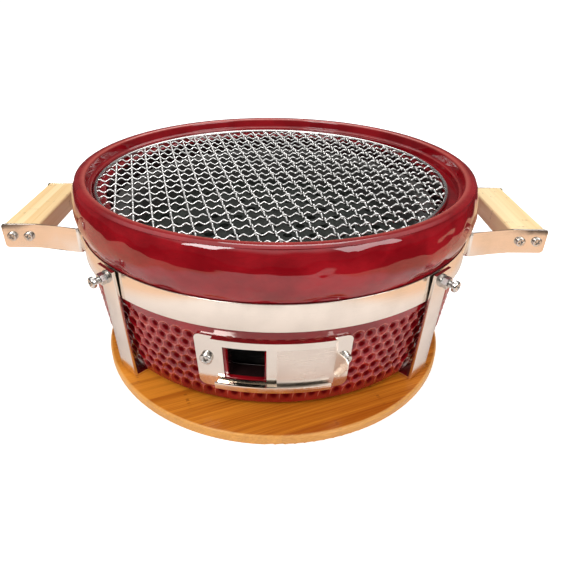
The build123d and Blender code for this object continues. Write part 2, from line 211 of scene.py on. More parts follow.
class Graph(Nodes):
    """One material's node tree with a Principled surface."""

    def __init__(self, name: str, turn: float = 0.0) -> None:
        """Makes the material, its surface and its object coordinates.

        Args:
            name: the material's name.
            turn: degrees that its pattern is turned about Z.
        """
        self.material = bpy.data.materials.new(name)
        self.material.use_nodes = True
        super().__init__(self.material.node_tree)
        self.surface = self.tree.nodes["Principled BSDF"]
        self.place = self.node("ShaderNodeTexCoord", {}, {}).outputs["Object"]
        if turn:
            inputs = {"Vector": self.place, "Angle": math.radians(-turn)}
            self.place = self.node("ShaderNodeVectorRotate", {"rotation_type": "Z_AXIS"}, inputs).outputs[0]

    def surface_is(self, **inputs: Any) -> bpy.types.Material:
        """Sets the surface's sockets.

        Args:
            inputs: values by socket name, with underscores for spaces.

        Returns:
            The finished material.
        """
        for name, value in inputs.items():
            self.feed(self.surface.inputs[name.replace("_", " ")], value)
        return self.material

    def stretched(self, factors: Point) -> bpy.types.NodeSocket:
        """Object coordinates multiplied axis by axis.

        Args:
            factors: one factor for each axis, in cells per metre.

        Returns:
            The stretched coordinates.
        """
        node = self.node("ShaderNodeVectorMath", {"operation": "MULTIPLY"}, {0: self.place, 1: factors})
        return node.outputs[0]

    def axis(self, name: str) -> Value:
        """One object coordinate in metres.

        Args:
            name: "X", "Y" or "Z".

        Returns:
            The coordinate.
        """
        node = self.node("ShaderNodeSeparateXYZ", {}, {0: self.place})
        return Value(self, node.outputs[name])

    def noise(self, factors: Point, detail: float = 3.0, roughness: float = 0.55) -> Value:
        """Soft noise stretched along the axes.

        Args:
            factors: cells per metre on each axis.
            detail: octaves.
            roughness: weight of the fine octaves.

        Returns:
            The noise, from 0 to 1.
        """
        inputs = {"Vector": self.stretched(factors), "Scale": 1.0, "Detail": detail, "Roughness": roughness}
        return Value(self, self.node("ShaderNodeTexNoise", {}, inputs).outputs[0])

    def cells(self, scale: float) -> Value:
        """Distance from the nearest of some scattered points.

        Args:
            scale: points per metre.

        Returns:
            The distance, in cells.
        """
        inputs = {"Vector": self.stretched((scale, scale, scale)), "Scale": 1.0}
        return Value(self, self.node("ShaderNodeTexVoronoi", {}, inputs).outputs["Distance"])

    def random(self, seed: Value) -> Value:
        """A fixed random number for each value of a seed.

        Args:
            seed: the seed.

        Returns:
            A number from 0 to 1.
        """
        node = self.node("ShaderNodeTexWhiteNoise", {"noise_dimensions": "1D"}, {"W": seed})
        return Value(self, node.outputs["Value"])

    def carried(self, name: str) -> Value:
        """A number that the mesh carries on its points.

        Args:
            name: the attribute's name.

        Returns:
            The number.
        """
        node = self.node("ShaderNodeAttribute", {"attribute_name": name}, {})
        return Value(self, node.outputs["Fac"])

    def window(self, value: Value, low: float, high: float, blur: float) -> Value:
        """One between two limits and zero outside them, with soft ends.

        Args:
            value: the number to be tested.
            low: the lower limit.
            high: the upper limit.
            blur: width of each soft end, inside the limits.

        Returns:
            The window.
        """
        return self.step(value, low, low + blur) * (1.0 - self.step(value, high - blur, high))

    def bump(self, height: Value, distance: float) -> bpy.types.NodeSocket:
        """Normal that follows a height.

        Args:
            height: the height, from 0 to 1.
            distance: what a height of 1 stands for, in metres.

        Returns:
            The normal.
        """
        inputs = {"Height": height, "Distance": distance, "Strength": 1.0}
        return self.node("ShaderNodeBump", {}, inputs).outputs[0]


# Finishes


@dataclass(frozen=True)
class Glaze:
    """Deep glossy glaze that breaks paler where it runs thin over edges and ridges; that pale colour is
    partly a painted highlight.

    Heights and radii are in metres, on the bowl.
    """

    name: str = "glaze_finish"
    # darker colour where the glaze pools in the dimples, partly a painted dark reflection
    pool_and_dark_reflection: Colour = (0.100, 0.0015, 0.0030)
    deep: Colour = (0.180, 0.0016, 0.0048)
    warm: Colour = (0.290, 0.0055, 0.0105)
    # pale colour where the glaze runs thin on edges and ridges, partly a painted highlight
    thin: Colour = (0.520, 0.1150, 0.0900)
    speck: Colour = (0.03, 0.001, 0.002)
    # painted shade: near-black colour for the inside of the wall below the ledge and the vent tunnel
    soot: Colour = (0.010, 0.008, 0.008)
    # painted highlight: pale colour of the vent tunnel's inner sill edge
    sill_highlight_colour: Colour = (0.62, 0.57, 0.54)
    gloss: float = 0.035
    cloud_cells: Point = (26.0, 26.0, 34.0)
    wave_cells: Point = (27.0, 27.0, 44.0)
    wave_height: float = 0.0022
    fine_cells: float = 420.0
    smear_cells: float = 90.0
    speck_cells: float = 520.0
    wall_slope: float = 0.1047
    wall_foot: float = 0.1572
    wall_top: float = 0.084
    mouth_edge: float = 0.1600
    edge_blur: float = 0.0012
    foot_edge: float = 0.016
    ledge: float = 0.1300
    # radii and heights of the painted highlight on the vent sill
    sill_highlight_radii: tuple[float, float] = (0.1462, 0.1477)
    sill_highlight_heights: tuple[float, float] = (0.0365, 0.0412)

    def inside(self, graph: Graph, reach: Value, height: Value) -> Value:
        """Where shade is painted near-black on the bowl, inside its wall and below the ledge.

        Args:
            graph: the material's graph.
            reach: distance from the bowl's axis.
            height: height above the table.

        Returns:
            One inside and zero outside.
        """
        upper = graph.step(height, self.wall_top, self.wall_top + 0.002)
        edge = (height * self.wall_slope + self.wall_foot) * (1.0 - upper) + upper * self.mouth_edge
        within = 1.0 - graph.step(reach - edge, -self.edge_blur, 0.0)
        below = 1.0 - graph.step(height, self.ledge, self.ledge + 0.0038)
        return within * below * graph.step(height, self.foot_edge, self.foot_edge + 0.004)

    def material(self) -> bpy.types.Material:
        """The glaze with pooling and a painted dark reflection in the dimples, thin edges and ridges with a
        painted highlight, pin specks, a wavy skin, painted near-black shade inside the wall and a painted
        highlight on the vent sill.
        """
        graph = Graph(self.name)
        cloud = graph.noise(self.cloud_cells, 4.0)
        fine = graph.noise((self.fine_cells,) * 3, 2.0)
        wave = graph.noise(self.wave_cells, 2.0)
        specks = 1.0 - graph.step(graph.cells(self.speck_cells), 0.05, 0.16)
        relief = graph.carried("thin")
        # where the glaze pools, partly a painted dark reflection in the dimples' middles
        pooled_and_dark_reflection = graph.step(relief * -1.0 + (fine - 0.5) * 0.2, 0.25, 0.75)
        # where the glaze runs thin, partly a painted highlight on ridges and edges
        thin_and_highlight = graph.step(relief + (fine - 0.5) * 0.25, 0.2, 1.1)
        colour = graph.mix(self.deep, self.warm, graph.step(cloud, 0.35, 0.68))
        colour = graph.mix(colour, self.pool_and_dark_reflection, pooled_and_dark_reflection)
        colour = graph.mix(colour, self.thin, thin_and_highlight * 0.9)
        colour = graph.mix(colour, self.speck, specks * 0.35)
        x, y, height = graph.axis("X"), graph.axis("Y"), graph.axis("Z")
        reach = (x * x + y * y) ** 0.5 + (fine - 0.5) * 0.0008
        # painted shade: inside the wall below the ledge, vent tunnel included, is painted near-black and
        # made matt
        fired = self.inside(graph, reach, height)
        colour = graph.mix(colour, self.soot, fired * 0.96)
        # painted highlight along the vent tunnel's inner sill edge
        sill_highlight = graph.window(reach, *self.sill_highlight_radii, 0.0005)
        sill_highlight = sill_highlight * graph.window(height, *self.sill_highlight_heights, 0.0008)
        colour = graph.mix(colour, self.sill_highlight_colour, sill_highlight * 0.8)
        return graph.surface_is(
            Base_Color=colour,
            Roughness=self.gloss + graph.noise((self.smear_cells,) * 3, 3.0) * 0.05 + fired * 0.25,
            Specular_IOR_Level=0.0,
            Coat_Weight=1.0 - pooled_and_dark_reflection,
            Coat_Roughness=0.012,
            Coat_IOR=1.62,
            Normal=graph.bump(wave + fine * 0.02, self.wave_height),
        )


@dataclass(frozen=True)
class Steel:
    """Stainless or plated steel with rolling lines, smudges and fine scratches."""

    name: str
    colour: Colour = (0.87, 0.79, 0.71)
    roughness: float = 0.15
    lines: Point = (6.0, 6.0, 900.0)
    line_depth: float = 0.00002
    smudge: float = 0.12
    smudge_cells: Point = (38.0, 38.0, 38.0)

    def material(self) -> bpy.types.Material:
        """The steel with lines along its rolling direction and faint smudges."""
        graph = Graph(self.name)
        lines = graph.noise(self.lines, 2.0, 0.6)
        smudge = graph.step(graph.noise(self.smudge_cells, 4.0), 0.4, 0.72)
        dark = tuple(channel * (1.0 - self.smudge) for channel in self.colour)
        colour = graph.mix(self.colour, dark, smudge * 0.6 + lines * 0.4)
        return graph.surface_is(
            Base_Color=colour,
            Metallic=1.0,
            Roughness=self.roughness + smudge * 0.09 + (lines - 0.5) * 0.12,
            Normal=graph.bump(lines, self.line_depth),
        )


@dataclass(frozen=True)
class Bamboo:
    """Laminated bamboo: glued strips, each with its own tone, fibres and nodes.

    Widths, gaps and radii are in millimetres.
    """

    name: str
    pale: Colour
    dark: Colour
    along: str = "X"
    across: str = "Y"
    strip: float = 19.0
    node_gap: float = 230.0
    node_half: tuple[float, float] = (0.5, 1.6)
    glue_share: float = 0.03
    roughness: float = 0.36
    coat: float = 0.25
    turn: float = 0.0
    rim: float = 0.0
    rim_centre: float = 0.0
    rim_colour: Colour = (0.80, 0.44, 0.13)
    fine_cells: float = 900.0
    long_cells: float = 14.0
    relief: float = 0.00012

    def rim_share(self, graph: Graph) -> Value:
        """Where a round board's rounded edge catches the light.

        Args:
            graph: the material's graph.

        Returns:
            One at the rim and zero within it.
        """
        middle = math.radians(self.turn)
        x = graph.axis("X") - self.rim_centre * MM * math.sin(middle)
        y = graph.axis("Y") - self.rim_centre * MM * math.cos(middle)
        return graph.step(x * x + y * y, ((self.rim - 2.2) * MM) ** 2, ((self.rim - 0.9) * MM) ** 2)

    def material(self) -> bpy.types.Material:
        """The bamboo with strips, fibres, darker node rings and glue lines."""
        graph = Graph(self.name, self.turn)
        lane = graph.axis(self.across) / (self.strip * MM) + 0.37
        seed = lane.floor()
        long, fine = self.long_cells, self.fine_cells
        cells = {"X": (long, fine, fine), "Y": (fine, long, fine)}[self.along]
        fibres = graph.noise(cells, 4.0, 0.65)
        broad = graph.noise(tuple(scale * 0.22 for scale in cells), 2.0)
        run = graph.axis(self.along) / (self.node_gap * MM) + graph.random(seed + 31.7) * 3.0
        ring = (run.fraction() - 0.5) * (self.node_gap * MM)
        dashes = graph.step(graph.noise(tuple(scale * 0.9 for scale in cells), 2.0), 0.48, 0.62)
        near, far = ((half * MM) ** 2 for half in self.node_half)
        ring_line = (1.0 - graph.step(ring * ring, near, far)) * dashes
        glue = lane.fraction()
        glue_line = 1.0 - graph.step(glue, 0.0, self.glue_share)
        glue_line = glue_line + graph.step(glue, 1.0 - self.glue_share, 1.0)
        shade = graph.random(seed) * 0.3 + fibres * 0.4 + broad * 0.4
        colour = graph.mix(self.pale, self.dark, graph.step(shade, 0.36, 0.76))
        deep = tuple(channel * 0.45 for channel in self.dark)
        colour = graph.mix(colour, deep, ring_line * 0.55 + glue_line * 0.12)
        if self.rim:
            colour = graph.mix(colour, self.rim_colour, self.rim_share(graph) * (0.75 - fibres * 0.4))
        return graph.surface_is(
            Base_Color=colour,
            Roughness=self.roughness + (fibres - 0.5) * 0.16,
            Specular_IOR_Level=0.25,
            Coat_Weight=self.coat,
            Coat_Roughness=0.25,
            Normal=graph.bump(fibres * 0.5 - glue_line * 0.6 - ring_line * 0.4, self.relief),
        )


@dataclass(frozen=True)
class FiredClay:
    """Matt dark fired clay with a sandy surface and soot."""

    name: str = "clay_finish"
    colour: Colour = (0.030, 0.028, 0.027)
    worn: Colour = (0.085, 0.078, 0.070)
    patch_cells: Point = (45.0, 45.0, 45.0)
    sand_cells: Point = (1500.0, 1500.0, 1500.0)

    def material(self) -> bpy.types.Material:
        """The clay with sand grain and paler worn patches."""
        graph = Graph(self.name)
        patches = graph.step(graph.noise(self.patch_cells, 5.0), 0.42, 0.7)
        sand = graph.noise(self.sand_cells, 2.0)
        return graph.surface_is(
            Base_Color=graph.mix(self.colour, self.worn, patches * 0.6 + sand * 0.3),
            Roughness=0.72 + sand * 0.2,
            Normal=graph.bump(sand + patches * 0.4, 0.0003),
        )


@dataclass(frozen=True)
class CastIron:
    """Rough cast iron, blacked and slightly green-grey."""

    name: str = "iron_finish"
    colour: Colour = (0.011, 0.013, 0.011)
    high: Colour = (0.042, 0.047, 0.040)
    grain_cells: Point = (800.0, 800.0, 800.0)
    patch_cells: Point = (60.0, 60.0, 60.0)

    def material(self) -> bpy.types.Material:
        """The iron with casting grain and worn high spots."""
        graph = Graph(self.name)
        grain = graph.noise(self.grain_cells, 4.0, 0.7)
        patches = graph.noise(self.patch_cells, 4.0)
        return graph.surface_is(
            Base_Color=graph.mix(self.colour, self.high, graph.step(grain * 0.5 + patches * 0.5, 0.35, 0.7)),
            Metallic=0.1,
            Specular_IOR_Level=0.2,
            Roughness=0.55 + (patches - 0.5) * 0.3,
            Normal=graph.bump(grain, 0.00035),
        )


class Finishes:
    """Every finish of the grill, made once."""

    def __init__(self) -> None:
        """Makes the materials."""
        self.glaze = Glaze().material()
        self.band = Steel("band_steel").material()
        self.strap = Steel("strap_steel", lines=(900.0, 900.0, 6.0)).material()
        self.vent = Steel("vent_steel", (0.88, 0.82, 0.75), 0.08, smudge=0.08).material()
        self.door = Steel("door_steel", (0.84, 0.76, 0.69), 0.28, smudge=0.10).material()
        self.screws = Steel(
            "screw_steel", (0.66, 0.64, 0.61), 0.22,
            lines=(300.0, 300.0, 300.0), line_depth=0.00004,
        ).material()
        self.wire = Steel(
            "wire_steel", (0.74, 0.73, 0.71), 0.22,
            lines=(240.0, 240.0, 240.0), line_depth=0.00005, smudge=0.3,
        ).material()
        self.board = Bamboo(
            "board_bamboo", (0.76, 0.27, 0.024), (0.36, 0.078, 0.003),
            strip=24.0, coat=0.08, turn=23.0, rim=151.0, rim_centre=-38.5,
        ).material()
        self.handles = Bamboo(
            "handle_bamboo", (0.98, 0.76, 0.44), (0.86, 0.58, 0.27),
            along="Y", across="X", strip=7.5, node_gap=70.0, roughness=0.42, coat=0.12,
        ).material()
        self.clay = FiredClay().material()
        self.iron = CastIron().material()


# Mesh tools


@dataclass
class Skin:
    """A mesh in the making: rings of points in millimetres and faces between them."""

    points: list[Point] = field(default_factory=list)
    faces: list[tuple[int, ...]] = field(default_factory=list)
    # how thin the glaze lies at each point; it also places the glaze's painted highlight and painted dark
    # reflection
    thin: list[float] = field(default_factory=list)

    def ring(self, points: Sequence[Point], thin: Sequence[float] | float = 0.0) -> list[int]:
        """Adds a row of points.

        Args:
            points: the points, in millimetres.
            thin: how thin the glaze lies on them, which also places the painted highlight and dark
                reflection, one number or one for each.

        Returns:
            The points' numbers.
        """
        start = len(self.points)
        self.points.extend(points)
        self.thin.extend([thin] * len(points) if isinstance(thin, float) else thin)
        return list(range(start, len(self.points)))

    def bridge(self, first: list[int], second: list[int]) -> None:
        """Joins two closed rings; one may have a whole number of times more points.

        Args:
            first: numbers of the first ring's points.
            second: numbers of the second ring's points.
        """
        if len(first) > len(second):
            first, second = second, first
        ratio = len(second) // len(first)
        count = len(second)
        for place in range(len(first)):
            near = [second[(place * ratio + offset) % count] for offset in range(ratio + 1)]
            self.faces.append((first[place], *near, first[(place + 1) % len(first)]))

    def fan(self, ring: list[int], centre: Point) -> None:
        """Closes a ring with triangles to a centre point.

        Args:
            ring: numbers of the ring's points.
            centre: the centre point.
        """
        middle = self.ring([centre])[0]
        for place, number in enumerate(ring):
            self.faces.append((number, ring[(place + 1) % len(ring)], middle))

    def tube(self, rings: Sequence[Sequence[Point]]) -> None:
        """Adds a closed sleeve through several rings with fans over both ends.

        Args:
            rings: the rings, each with the same number of points.
        """
        numbers = [self.ring(points) for points in rings]
        for first, second in zip(numbers, numbers[1:]):
            self.bridge(first, second)
        for ring, points in ((numbers[0], rings[0]), (numbers[-1], rings[-1])):
            centre = tuple(sum(axis) / len(points) for axis in zip(*points))
            self.fan(ring, centre)

    def piece(self, name: str, material: bpy.types.Material, crease: float = 40.0) -> bpy.types.Object:
        """Makes the object, in metres, with its normals outward.

        Args:
            name: the piece's name.
            material: its finish.
            crease: faces that meet at a larger angle, in degrees, keep a sharp edge.

        Returns:
            The new object.
        """
        mesh = bpy.data.meshes.new(name)
        mesh.from_pydata([tuple(axis * MM for axis in point) for point in self.points], [], self.faces)
        # how thin the glaze lies, which also places its painted highlight and painted dark reflection
        carried = mesh.attributes.new("thin", "FLOAT", "POINT")
        carried.data.foreach_set("value", self.thin)
        work = bmesh.new()
        work.from_mesh(mesh)
        bmesh.ops.recalc_face_normals(work, faces=work.faces)
        work.to_mesh(mesh)
        work.free()
        mesh.materials.append(material)
        mesh.shade_smooth()
        mesh.set_sharp_from_angle(angle=math.radians(crease))
        thing = bpy.data.objects.new(name, mesh)
        bpy.context.scene.collection.objects.link(thing)
        return thing


def settle(piece: bpy.types.Object, body: Body, nodes: Sequence[str]) -> bpy.types.Object:
    """Gives a piece its body and hides the CAD nodes that it stands for.

    Args:
        piece: the new piece.
        body: the body that carries it.
        nodes: the CAD nodes that it stands for.

    Returns:
        The piece.
    """
    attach(piece, body.value)
    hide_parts(*nodes)
    LOG.info("%s: %d faces on %s", piece.name, len(piece.data.polygons), body.value)
    return piece


def rounded(corners: Sequence[tuple[float, float, float]], steps: int = 5) -> list[tuple[float, float]]:
    """A line in a plane with its corners rounded.

    Args:
        corners: x, y and rounding radius of each corner; the ends' radii aren't used.
        steps: straight runs in each rounding.

    Returns:
        The line's points.
    """
    line = [corners[0][:2]]
    for before, (x, y, radius), after in zip(corners, corners[1:], corners[2:]):
        if radius == 0:
            line.append((x, y))
            continue
        corner = Vector((x, y))
        back = (Vector(before[:2]) - corner).normalized()
        ahead = (Vector(after[:2]) - corner).normalized()
        half = back.angle(ahead) / 2
        reach = radius / math.tan(half)
        centre = corner + (back + ahead).normalized() * (radius / math.sin(half))
        first = corner + back * reach - centre
        last = corner + ahead * reach - centre
        turn = first.angle_signed(last)
        for step in range(steps + 1):
            arm = Matrix.Rotation(-turn * step / steps, 2) @ first
            line.append(tuple(centre + arm))
    line.append(corners[-1][:2])
    return line


def blend(knots: Sequence[float], t: float) -> float:
    """A smooth curve's value between the middle two of four numbers.

    Args:
        knots: the four numbers.
        t: the place between the middle two, from 0 to 1.

    Returns:
        The curve's value.
    """
    p, q, r, s = knots
    square = 2 * p - 5 * q + 4 * r - s
    cube = 3 * q - p - 3 * r + s
    return 0.5 * (2 * q + (r - p) * t + square * t * t + cube * t**3)


def rounded_box(half_x: float, half_y: float, corner: float, steps: int) -> list[tuple[float, float]]:
    """A rectangle round the origin with rounded corners.

    Args:
        half_x: half its width.
        half_y: half its height.
        corner: its corners' radius.
        steps: straight runs in each corner.

    Returns:
        Its points, anticlockwise.
    """
    ring = []
    for quarter, (side, up) in enumerate(((1, 1), (-1, 1), (-1, -1), (1, -1))):
        for step in range(steps + 1):
            turn = math.pi / 2 * (quarter + step / steps)
            x = side * (half_x - corner) + corner * math.cos(turn)
            y = up * (half_y - corner) + corner * math.sin(turn)
            ring.append((x, y))
    return ring


def flowing(points: Sequence[tuple[float, float]], steps: int) -> list[tuple[float, float]]:
    """A smooth line through points.

    Args:
        points: the points that it passes.
        steps: runs between two of them.

    Returns:
        The line's points.
    """
    padded = [points[0], *points, points[-1]]
    line = []
    for knots in zip(padded, padded[1:], padded[2:], padded[3:]):
        for step in range(steps):
            line.append(tuple(blend(axis, step / steps) for axis in zip(*knots)))
    line.append(points[-1])
    return line


def facing(azimuth: float, radius: float, height: float, tilt: float) -> Matrix:
    """Place on the grill's side whose Z points outward, tipped down by a tilt.

    Args:
        azimuth: degrees from the front.
        radius: distance from the bowl's axis.
        height: height above the table.
        tilt: degrees that the outward direction is tipped down.

    Returns:
        The place, in millimetres.
    """
    turn = math.radians(azimuth)
    lean = math.radians(tilt)
    outward = Vector((math.sin(turn) * math.cos(lean), -math.cos(turn) * math.cos(lean), -math.sin(lean)))
    across = Vector((math.cos(turn), math.sin(turn), 0.0))
    upward = outward.cross(across)
    place = Matrix((across, upward, outward)).transposed().to_4x4()
    place.translation = Vector((math.sin(turn) * radius, -math.cos(turn) * radius, height))
    return place


def at_azimuth(radius: float, azimuth: float, height: float) -> Point:
    """A point by its radius, azimuth in degrees and height."""
    turn = math.radians(azimuth)
    return (math.sin(turn) * radius, -math.cos(turn) * radius, height)


# Pieces


@dataclass
class GlazedBowl:
    """Ceramic bowl with a dimpled lower wall, a swelling collar and a rolled rim."""

    foot_height: float = 11.5
    recess: float = 4.5
    foot_inner: float = 112.0
    foot_chamfer: float = 2.5
    middle_radius: float = 60.0
    foot_radius: float = 157.5
    base_radius: float = 161.9
    base_height: float = 22.0
    seat_radius: float = 168.6
    seat_height: float = 86.0
    collar_height: float = 109.2
    rim_radius: float = 175.5
    collar: tuple[tuple[float, float], ...] = (
        (171.3, 110.0), (173.6, 115.5), (175.1, 121.0), (175.45, 126.5), (175.0, 132.5),
        (173.9, 138.5), (172.3, 143.4), (170.1, 146.7), (167.4, 148.3), (165.6, 148.45),
    )
    mouth_radius: float = 161.0
    mouth_height: float = 148.3
    upper_ledge_radius: float = 159.8
    upper_ledge_height: float = 139.9
    ledge_radius: float = 157.0
    ledge_height: float = 134.5
    inner_radius: float = 145.8
    inner_foot: float = 145.4
    inner_lean: float = 1.1
    floor_height: float = 28.0
    floor_round: float = 12.0
    wall_start: float = 25.0
    wall_rows: int = 66
    dimples_round: int = 104
    dimple_rows: int = 7
    dimple_low: float = 21.6
    dimple_rise: float = 8.5
    dimple_depth: float = 1.5
    dimple_reach: float = 0.53
    dimple_drift: float = 0.09
    drift_seed: int = 11
    columns_each: int = 10
    coarse: int = 520
    pad_half_angle: float = 18.6
    pad_low: float = 29.0
    pad_high: float = 77.0
    vent_azimuth: float = -6.75
    vent_low: float = 38.0
    vent_high: float = 68.0
    vent_width: float = 27.6
    vent_inset: float = 0.6
    vent_corner: float = 1.8
    inner_flare: tuple[tuple[float, float], ...] = (
        (-1.0, 1.8), (-0.2, 1.0), (0.6, 0.45), (1.6, 0.1), (2.8, 0.0),
    )
    outer_flare: tuple[tuple[float, float], ...] = (
        (-2.6, 0.0), (-1.7, 0.1), (-0.9, 0.45), (-0.2, 1.0), (0.6, 1.8), (6.0, 6.0),
    )
    ripple_depth: float = 2.5
    ripple_length: float = 36.0
    crease: float = 50.0

    def wall(self, height: float) -> float:
        """Radius of the straight lower wall at a height."""
        slope = (self.seat_radius - self.base_radius) / (self.seat_height - self.base_height)
        return self.base_radius + (height - self.base_height) * slope

    def dimple(self, column: float, height: float) -> float:
        """Distance from the nearest dimple's middle, in dimple radii.

        Args:
            column: place round the wall, in dimple pitches.
            height: height above the table.

        Returns:
            0 in the middle of a dimple, 1 at its edge.
        """
        pitch = 2 * math.pi * self.wall(height) / self.dimples_round
        level = (height - self.dimple_low) / self.dimple_rise
        nearest = 9.0
        for row in range(math.floor(level), math.floor(level) + 2):
            if 0 <= row < self.dimple_rows:
                place = column + (row % 2) / 2
                middle = math.floor(place + 0.5)
                seed = Vector((middle % self.dimples_round + 0.4, row + 0.3, 0.7))
                drift = noise.noise_vector(seed * 1.37) * self.dimple_drift
                sideways = place - middle + drift.x
                upward = (level - row) * self.dimple_rise / pitch + drift.y
                nearest = min(nearest, math.hypot(sideways, upward) * (1.0 + drift.z))
        return nearest / self.dimple_reach

    def lower_wall(self) -> list[tuple[float, float]]:
        """Outline of the foot and wall, from the foot ring to under the band."""
        foot = rounded(
            [
                (self.foot_radius - 6.0, self.foot_height, 0.0),
                (self.foot_radius + 1.5, self.foot_height, 3.6),
                (self.base_radius - 0.1, self.base_height - 0.6, 3.0),
                (self.wall(24.0), 24.0, 0.0),
            ]
        )
        rise = (self.seat_height + 3.0 - self.wall_start) / self.wall_rows
        heights = [self.wall_start + step * rise for step in range(self.wall_rows)]
        return foot + [(min(self.wall(height), self.seat_radius), height) for height in heights]

    def thinness_and_highlight(self, radius: float, height: float) -> float:
        """How thin the glaze lies on the collar, the rim and the ledges, together with a painted highlight
        on the rim's inner crest, its top and the upper ledge's edge.

        Args:
            radius: distance from the axis.
            height: height above the table.

        Returns:
            0 where it is thick, up to 1 where it is thinnest.
        """
        # painted highlight: the rim's inner crest, its top and the upper ledge's edge are made paler, partly
        # as thinner glaze
        crest_thin_and_highlight = math.exp(-(((radius - 162.2) / 1.6) ** 2 + ((height - 147.6) / 1.5) ** 2))
        lip_thin_and_highlight = math.exp(-(((radius - 158.0) / 1.5) ** 2 + ((height - 139.5) / 1.2) ** 2))
        top = max(0.0, (height - 145.0) / 3.5)
        return min(1.0, crest_thin_and_highlight * 0.6 + top * 0.35 + lip_thin_and_highlight * 0.5)

    def upper_part(self) -> list[tuple[float, float, float]]:
        """Outline of the seat, collar, rim and inside, with how thin the glaze lies at each point and its
        painted highlight.
        """
        under = self.collar_height
        seat = [(self.seat_radius, self.seat_height + 4.0), (self.seat_radius, under - 0.8)]
        seat += rounded(
            [
                (self.seat_radius, under - 0.7, 0),
                (self.seat_radius + 0.4, under, 0.5),
                (self.seat_radius + 1.8, under, 0),
            ],
            3,
        )
        inside = rounded(
            [
                (*self.collar[-1], 0),
                (self.mouth_radius, self.mouth_height, 2.2),
                (self.upper_ledge_radius, self.upper_ledge_height, 1.2),
                (self.ledge_radius + 0.3, self.upper_ledge_height, 1.5),
                (self.ledge_radius, self.ledge_height, 0.8),
                (self.inner_foot + self.inner_lean, self.ledge_height, 2.0),
                (self.inner_foot, self.floor_height, self.floor_round),
                (self.middle_radius, self.floor_height, 0),
            ]
        )
        line = [(radius, height, 0.0) for radius, height in seat]
        for radius, height in flowing(self.collar, 5) + inside[1:]:
            line.append((radius, height, self.thinness_and_highlight(radius, height)))
        return line

    def round_row(
        self, skin: Skin, radius: float, height: float, thin: float = 0.0, ripple: bool = False
    ) -> list[int]:
        """Adds one plain ring of the bowl.

        Args:
            skin: the bowl's skin.
            radius: the ring's radius.
            height: the ring's height.
            thin: how thin the glaze lies on it, which also sets its painted highlight.
            ripple: whether the glaze's slow ripple draws it in.

        Returns:
            The points' numbers.
        """
        spots = [at_azimuth(radius, 360.0 * n / self.coarse, height) for n in range(self.coarse)]
        return skin.ring([self.rippled(spot) for spot in spots] if ripple else spots, thin)

    def dimpled_row(self, skin: Skin, radius: float, height: float) -> list[int]:
        """Adds one ring of the dimpled wall, with a plain pad behind the vent plate.

        Args:
            skin: the bowl's skin.
            radius: the wall's radius.
            height: the ring's height.

        Returns:
            The points' numbers.
        """
        fine = self.dimples_round * self.columns_each
        points = []
        thin = []
        for n in range(fine):
            azimuth = 360.0 * n / fine
            off_front = (azimuth + 180.0) % 360.0 - 180.0
            flat = abs(off_front) < self.pad_half_angle and self.pad_low < height < self.pad_high
            share = 9.0 if flat else self.dimple(n / self.columns_each, height)
            depth = 1.0 - min(share, 1.0) ** 2.2
            points.append(at_azimuth(radius - depth * self.dimple_depth, azimuth, height))
            # painted highlight on the dimples' ridges and painted dark reflection in their middles, partly
            # thin and pooling glaze
            outline = math.exp(-(((share - 0.97) / 0.13) ** 2))
            thin.append(0.85 * outline + 0.05 - max(0.0, 1.0 - share / 0.7) ** 0.42)
        return skin.ring(points, thin)

    def skin(self) -> Skin:
        """The whole bowl, closed, before the vent is cut."""
        # noise_vector takes its offsets from the clock until a seed is set
        noise.seed_set(self.drift_seed)
        skin = Skin()
        under = self.foot_height + self.recess
        rows = [
            self.round_row(skin, self.middle_radius, under),
            self.round_row(skin, self.foot_inner, under),
            self.round_row(skin, self.foot_inner + self.foot_chamfer, self.foot_height),
        ]
        rows += [self.dimpled_row(skin, radius, height) for radius, height in self.lower_wall()]
        for radius, height, thin in self.upper_part():
            on_collar = radius > self.seat_radius + 1.0 and height > self.collar_height
            rows.append(self.round_row(skin, radius, height, thin, on_collar))
        for first, second in zip(rows, rows[1:]):
            skin.bridge(first, second)
        skin.fan(rows[0], (0.0, 0.0, under))
        skin.fan(rows[-1], (0.0, 0.0, self.floor_height))
        return skin

    def rippled(self, spot: Point) -> Point:
        """Draws a point of the collar in by the glaze's slow ripple.

        Args:
            spot: the point.

        Returns:
            The point, nearer to the axis.
        """
        place = Vector((spot[0], spot[1], spot[2] * 1.6)) / self.ripple_length
        wave = noise.noise(place) + 0.6 * noise.noise(place * 2.4)
        share = 1.0 - self.ripple_depth * (0.5 + 0.35 * wave) / self.rim_radius
        return (spot[0] * share, spot[1] * share, spot[2])

    def cutter(self) -> Skin:
        """Rounded prism through the front wall that flares at the glazed outer edge."""
        middle = (self.vent_low + self.vent_high) / 2
        outer = self.wall(middle)
        place = facing(self.vent_azimuth, 0.0, middle, 0.0)
        reaches = [(120.0, 4.0)]
        reaches += [(self.inner_radius + offset, flare) for offset, flare in self.inner_flare]
        reaches += [(outer + offset, flare) for offset, flare in self.outer_flare]
        rings = []
        for reach, flare in reaches:
            half_width = self.vent_width / 2 - self.vent_inset + flare
            half_height = (self.vent_high - self.vent_low) / 2 - self.vent_inset + flare
            ring = rounded_box(half_width, half_height, self.vent_corner + flare, 8)
            rings.append([tuple(place @ Vector((x, y, reach))) for x, y in ring])
        skin = Skin()
        skin.tube(rings)
        return skin

    def build(self, finishes: Finishes) -> None:
        """Makes the bowl and cuts its vent.

        Args:
            finishes: the grill's finishes.
        """
        bowl = self.skin().piece("glazed_bowl", finishes.glaze, self.crease)
        tool = self.cutter().piece("vent_cutter", finishes.glaze, self.crease)
        cut = bowl.modifiers.new("vent", "BOOLEAN")
        cut.object = tool
        cut.operation = "DIFFERENCE"
        cut.solver = "EXACT"
        bpy.context.view_layer.update()
        evaluated = bowl.evaluated_get(bpy.context.evaluated_depsgraph_get())
        mesh = bpy.data.meshes.new_from_object(evaluated)
        bowl.modifiers.clear()
        bowl.data = mesh
        mesh.set_sharp_from_angle(angle=math.radians(self.crease))
        bpy.data.objects.remove(tool)
        settle(bowl, Body.GRILL, ["ceramic_bowl"])


